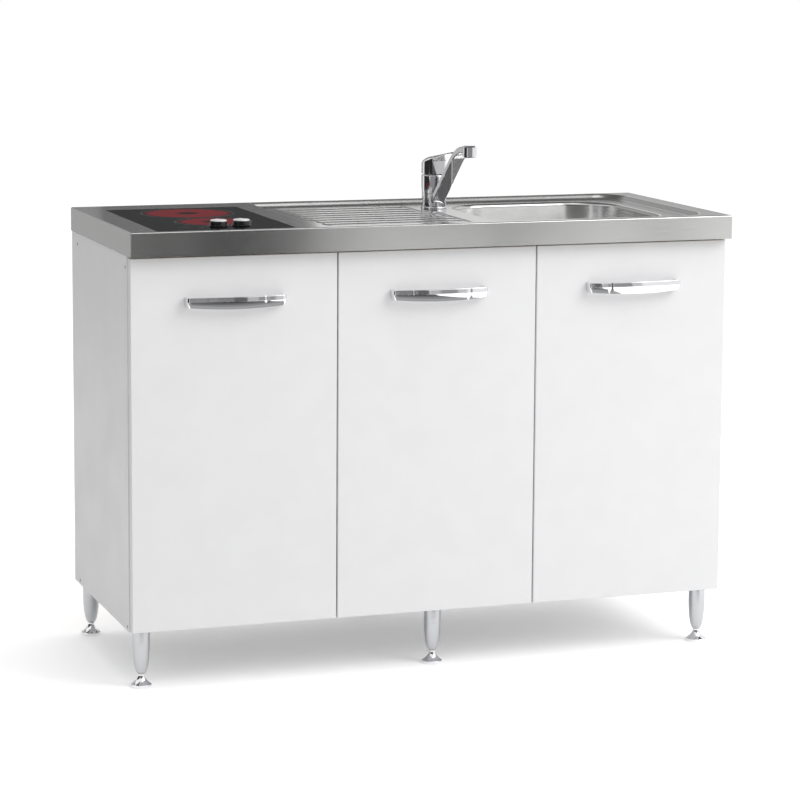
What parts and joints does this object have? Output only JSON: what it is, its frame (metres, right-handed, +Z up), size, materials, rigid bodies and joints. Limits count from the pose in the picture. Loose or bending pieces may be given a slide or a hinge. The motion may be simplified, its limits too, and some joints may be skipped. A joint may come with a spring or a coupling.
{
  "type": "kitchenette unit",
  "caption": "Fitted kitchenette base cabinet with hinged doors, bow handles and levelling legs under a pressed steel worktop with glass hob, ribbed drainer, bowl and mixer tap.",
  "frame": {"origin": "on the floor, under the middle of the plan with the handles included", "axes": "+X to the right seen from the front, +Y to the wall at the back, +Z up"},
  "size_m": [1.2, 0.506, 0.991],
  "materials": {
    "melamine": "white melamine-faced chipboard, edge-banded, fine satin",
    "hardboard": "white-faced hardboard",
    "chipboard": "raw chipboard battens",
    "stainless": "satin stainless sheet",
    "hob_glass": "dark glass-ceramic, polished",
    "zinc_steel": "zinc-plated steel",
    "insulation": "moulded insulation with glowing strip",
    "plastic_white": "moulded plastic",
    "plastic_black": "black moulded knob with a metallic cap",
    "chrome": "polished chrome plate",
    "satin_metal": "satin metallic",
    "brass": "machined brass"
  },
  "bodies": {
    "cabinet": {"side_panel_left": "melamine", "side_panel_right": "melamine", "bottom_panel": "melamine", "divider_panel": "melamine", "front_rail": "melamine", "back_rail": "melamine", "back_panel": "hardboard", "worktop_sheet": "stainless", "worktop_frame": "chipboard", "sink_bowl": "stainless", "hob_glass": "hob_glass", "hob_case": "zinc_steel", "heater_rear": "insulation", "heater_front": "insulation", "regulator_left": "plastic_white", "regulator_right": "plastic_white", "tap_base": "chrome", "tap_body": "chrome", "tap_cartridge": "plastic_white", "tap_nut": "brass", "waste_flange": "stainless", "waste_body": "plastic_white", "trap_bottle": "plastic_white", "hinge_arm_left_lower": "zinc_steel", "hinge_arm_left_upper": "zinc_steel", "hinge_arm_middle_lower": "zinc_steel", "hinge_arm_middle_upper": "zinc_steel", "hinge_arm_right_lower": "zinc_steel", "hinge_arm_right_upper": "zinc_steel", "leg_front_left": "satin_metal", "leg_front_middle": "satin_metal", "leg_front_right": "satin_metal", "leg_back_left": "satin_metal", "leg_back_middle": "satin_metal", "leg_back_right": "satin_metal"},
    "knob_left": {"hob_knob_left": "plastic_black"},
    "knob_right": {"hob_knob_right": "plastic_black"},
    "spout": {"tap_spout": "chrome", "tap_aerator": "satin_metal"},
    "cam": {"tap_cam": "satin_metal"},
    "lever": {"tap_lever": "chrome"},
    "basket": {"waste_basket": "stainless"},
    "door_left": {"door_left": "melamine", "handle_left": "chrome", "hinge_cup_left_lower": "zinc_steel", "hinge_cup_left_upper": "zinc_steel"},
    "door_middle": {"door_middle": "melamine", "handle_middle": "chrome", "hinge_cup_middle_lower": "zinc_steel", "hinge_cup_middle_upper": "zinc_steel"},
    "door_right": {"door_right": "melamine", "handle_right": "chrome", "hinge_cup_right_lower": "zinc_steel", "hinge_cup_right_upper": "zinc_steel"},
    "foot_front_left": {"foot_front_left": "chrome"},
    "foot_front_middle": {"foot_front_middle": "chrome"},
    "foot_front_right": {"foot_front_right": "chrome"},
    "foot_back_left": {"foot_back_left": "chrome"},
    "foot_back_middle": {"foot_back_middle": "chrome"},
    "foot_back_right": {"foot_back_right": "chrome"}
  },
  "joints": [
    {"name": "door_left_hinge", "type": "hinge", "parent": "cabinet", "child": "door_left", "pos_m": [-0.5965, -0.225, 0.461], "axis": [0, 0, -1], "range_deg": [0, 100]},
    {"name": "door_middle_hinge", "type": "hinge", "parent": "cabinet", "child": "door_middle", "pos_m": [-0.19783, -0.225, 0.461], "axis": [0, 0, -1], "range_deg": [0, 100]},
    {"name": "door_right_hinge", "type": "hinge", "parent": "cabinet", "child": "door_right", "pos_m": [0.5965, -0.225, 0.461], "axis": [0, 0, 1], "range_deg": [0, 100]},
    {"name": "knob_left_turn", "type": "hinge", "parent": "cabinet", "child": "knob_left", "pos_m": [-0.419, -0.185, 0.866], "axis": [0, 0, -1], "range_deg": [0, 280]},
    {"name": "knob_right_turn", "type": "hinge", "parent": "cabinet", "child": "knob_right", "pos_m": [-0.375, -0.185, 0.866], "axis": [0, 0, -1], "range_deg": [0, 280]},
    {"name": "spout_swivel", "type": "hinge", "parent": "cabinet", "child": "spout", "pos_m": [0.115, 0.124, 0.87], "axis": [0, 0, 1], "range_deg": [-60, 110]},
    {"name": "lever_turn", "type": "hinge", "parent": "cabinet", "child": "cam", "pos_m": [0.115, 0.124, 0.923], "axis": [0, 0, 1], "range_deg": [-45, 45]},
    {"name": "lever_tilt", "type": "hinge", "parent": "cam", "child": "lever", "pos_m": [0.1143, 0.14399, 0.923], "axis": [-0.9994, -0.0349, 0], "range_deg": [0, 22]},
    {"name": "basket_lift", "type": "slide", "parent": "cabinet", "child": "basket", "axis": [0, 0, 1], "range_m": [0, 0.06]},
    {"name": "foot_front_left_screw", "type": "slide", "parent": "cabinet", "child": "foot_front_left", "axis": [0, 0, -1], "range_m": [0, 0.012]},
    {"name": "foot_front_middle_screw", "type": "slide", "parent": "cabinet", "child": "foot_front_middle", "axis": [0, 0, -1], "range_m": [0, 0.012]},
    {"name": "foot_front_right_screw", "type": "slide", "parent": "cabinet", "child": "foot_front_right", "axis": [0, 0, -1], "range_m": [0, 0.012]},
    {"name": "foot_back_left_screw", "type": "slide", "parent": "cabinet", "child": "foot_back_left", "axis": [0, 0, -1], "range_m": [0, 0.012]},
    {"name": "foot_back_middle_screw", "type": "slide", "parent": "cabinet", "child": "foot_back_middle", "axis": [0, 0, -1], "range_m": [0, 0.012]},
    {"name": "foot_back_right_screw", "type": "slide", "parent": "cabinet", "child": "foot_back_right", "axis": [0, 0, -1], "range_m": [0, 0.012]}
  ]
}
